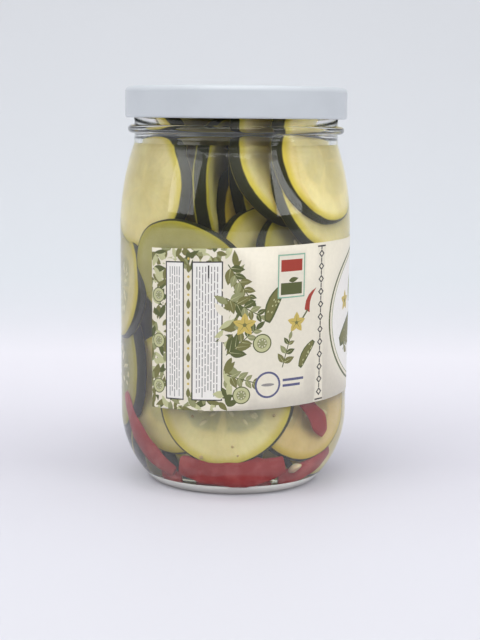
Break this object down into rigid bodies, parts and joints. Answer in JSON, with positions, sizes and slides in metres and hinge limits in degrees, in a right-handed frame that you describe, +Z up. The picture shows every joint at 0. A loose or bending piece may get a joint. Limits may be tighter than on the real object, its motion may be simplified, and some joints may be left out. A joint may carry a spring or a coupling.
{
  "type": "pickle jar",
  "caption": "Round wide-mouth clear glass jar with rolled-hem screw lid, part-wrap label and sliced pickles in brine, resting upright on a ring foot.",
  "frame": {"origin": "on the jar's axis at the surface it stands on", "axes": "+Z up along the jar's axis, -Y towards the viewer, +X towards the middle of the label"},
  "size_m": [0.0952, 0.0952, 0.162],
  "materials": {
    "glass": "clear, smooth",
    "brine": "wet, translucent pickle slices in brine",
    "lid": "satin lacquer",
    "label": "printed film, satin"
  },
  "bodies": {
    "root": {"glass_jar": "glass", "brine": "brine", "lid": "lid", "label": "label"}
  },
  "joints": []
}
